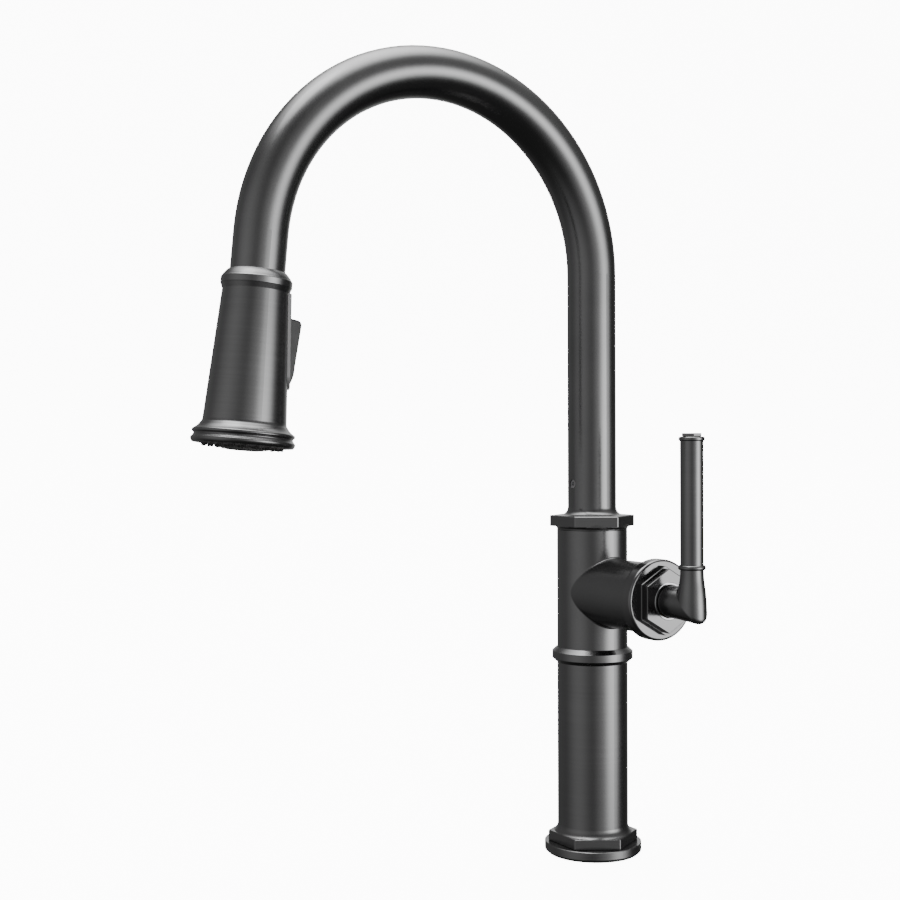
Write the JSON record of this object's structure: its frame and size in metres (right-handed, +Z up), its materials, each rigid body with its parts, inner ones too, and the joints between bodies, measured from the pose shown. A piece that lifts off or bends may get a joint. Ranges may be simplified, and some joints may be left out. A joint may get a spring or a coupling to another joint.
{
  "type": "pull down kitchen faucet",
  "caption": "Tall gooseneck kitchen faucet in dark brushed metal with hexagonal collars, a side valve with an upright bar lever and a pull-down spray head with a rocking button.",
  "frame": {"origin": "on the deck surface, on the column's axis", "axes": "+Z up along the column, -Y towards the user and the sink where the spout reaches, +X towards the side valve and its lever"},
  "size_m": [0.1239, 0.2721, 0.452],
  "materials": {
    "gunmetal": "satin brushed dark gunmetal coating",
    "black_plastic": "satin moulded",
    "brass": "machined",
    "copper": "drawn tube",
    "rubber": "matte",
    "ceramic": "lapped",
    "magnet": "nickel plated",
    "steel": "machined",
    "aerator_plastic": "satin moulded",
    "braid": "woven nylon sleeve"
  },
  "bodies": {
    "base": {"deck_gasket": "rubber", "base_plate": "gunmetal", "base_block": "brass", "lower_column": "gunmetal", "column_collar": "gunmetal", "column_coupling": "brass", "cold_tube": "copper", "outlet_tube": "copper", "hot_tube": "copper", "valve_body": "gunmetal", "swivel_spigot": "brass", "thrust_washer": "black_plastic", "waterway_block": "brass", "cartridge_seals": "rubber", "cartridge_body": "black_plastic", "fixed_disc": "ceramic", "cartridge_cap": "black_plastic", "cartridge_nut": "brass", "valve_cover": "gunmetal", "cover_ring": "gunmetal"},
    "spout": {"spout_hex_collar": "gunmetal", "gooseneck_tube": "gunmetal", "lower_bush": "black_plastic", "upper_bush": "black_plastic", "neck_screw": "steel", "docking_sleeve": "black_plastic", "docking_magnet": "magnet", "pull_out_hose": "braid"},
    "rotor": {"cartridge_rotor": "black_plastic"},
    "mixing_disc": {"moving_disc": "ceramic", "disc_carrier": "black_plastic"},
    "handle": {"cartridge_stem": "steel", "pivot_pin": "steel", "handle_elbow": "gunmetal", "handle_screw": "steel", "lever_rod": "gunmetal", "lever_ring": "gunmetal", "lever_top_ring": "gunmetal", "lever_cap": "gunmetal"},
    "hose_end": {"hose_nut": "brass"},
    "spray_head": {"head_collar": "gunmetal", "head_core": "black_plastic", "spigot_keeper": "magnet", "check_valve": "black_plastic", "head_shell": "gunmetal", "head_bell": "gunmetal", "button_panel": "black_plastic", "button_pin": "steel", "spray_face": "black_plastic", "spray_nozzles": "rubber", "aerator": "aerator_plastic"},
    "toggle": {"toggle_button": "black_plastic"},
    "diverter": {"diverter_spool": "black_plastic"}
  },
  "joints": [
    {"name": "spout_swivel", "type": "hinge", "parent": "base", "child": "spout", "pos_m": [0, 0, 0.187], "axis": [0, 0, 1], "range_deg": [-90, 90]},
    {"name": "handle_turn", "type": "hinge", "parent": "base", "child": "rotor", "pos_m": [0.0699, 0, 0.1515], "axis": [1, 0, 0], "range_deg": [-45, 45]},
    {"name": "handle_lift", "type": "hinge", "parent": "rotor", "child": "handle", "pos_m": [0.0699, 0, 0.1515], "axis": [0, 1, 0], "range_deg": [0, 18]},
    {"name": "disc_slide", "type": "slide", "parent": "rotor", "child": "mixing_disc", "axis": [0, 0, 1], "range_m": [0, 0.0042]},
    {"name": "pull_down", "type": "slide", "parent": "spout", "child": "hose_end", "axis": [0, -0.0976, -0.9952], "range_m": [0, 0.2], "deforming": ["pull_out_hose"]},
    {"name": "head_spin", "type": "hinge", "parent": "hose_end", "child": "spray_head", "pos_m": [0, -0.2075, 0.34415], "axis": [0, -0.0976, -0.9952], "continuous": true},
    {"name": "spray_toggle", "type": "hinge", "parent": "spray_head", "child": "toggle", "pos_m": [0, -0.19625, 0.28477], "axis": [1, 0, 0], "range_deg": [0, 7]},
    {"name": "diverter_slide", "type": "slide", "parent": "spray_head", "child": "diverter", "axis": [0, -0.0976, -0.9952], "range_m": [0, 0.00144]}
  ],
  "couplings": [
    {"joint": "disc_slide", "follows": "handle_lift", "m_per_rad": 0.01285},
    {"joint": "spray_toggle", "follows": "diverter_slide", "rad_per_m": 84.75}
  ]
}
